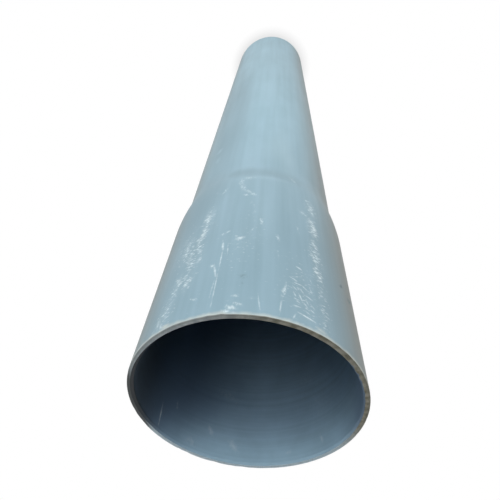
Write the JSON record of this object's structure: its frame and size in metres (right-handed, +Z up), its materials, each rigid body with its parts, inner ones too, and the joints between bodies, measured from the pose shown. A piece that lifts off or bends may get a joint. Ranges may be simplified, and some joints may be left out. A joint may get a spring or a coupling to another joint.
{
  "type": "pvc well pipe",
  "caption": "Length of plain-walled PVC-U well pipe with a belled socket end and a chamfered plain end, standing on the plain end.",
  "frame": {"origin": "on the floor, in the middle of the plain end", "axes": "+Z up along the pipe's axis, from the plain end to the socket's mouth"},
  "size_m": [0.3338, 0.3338, 2],
  "materials": {
    "pvc": "satin"
  },
  "bodies": {
    "root": {"pipe": "pvc"}
  },
  "joints": []
}
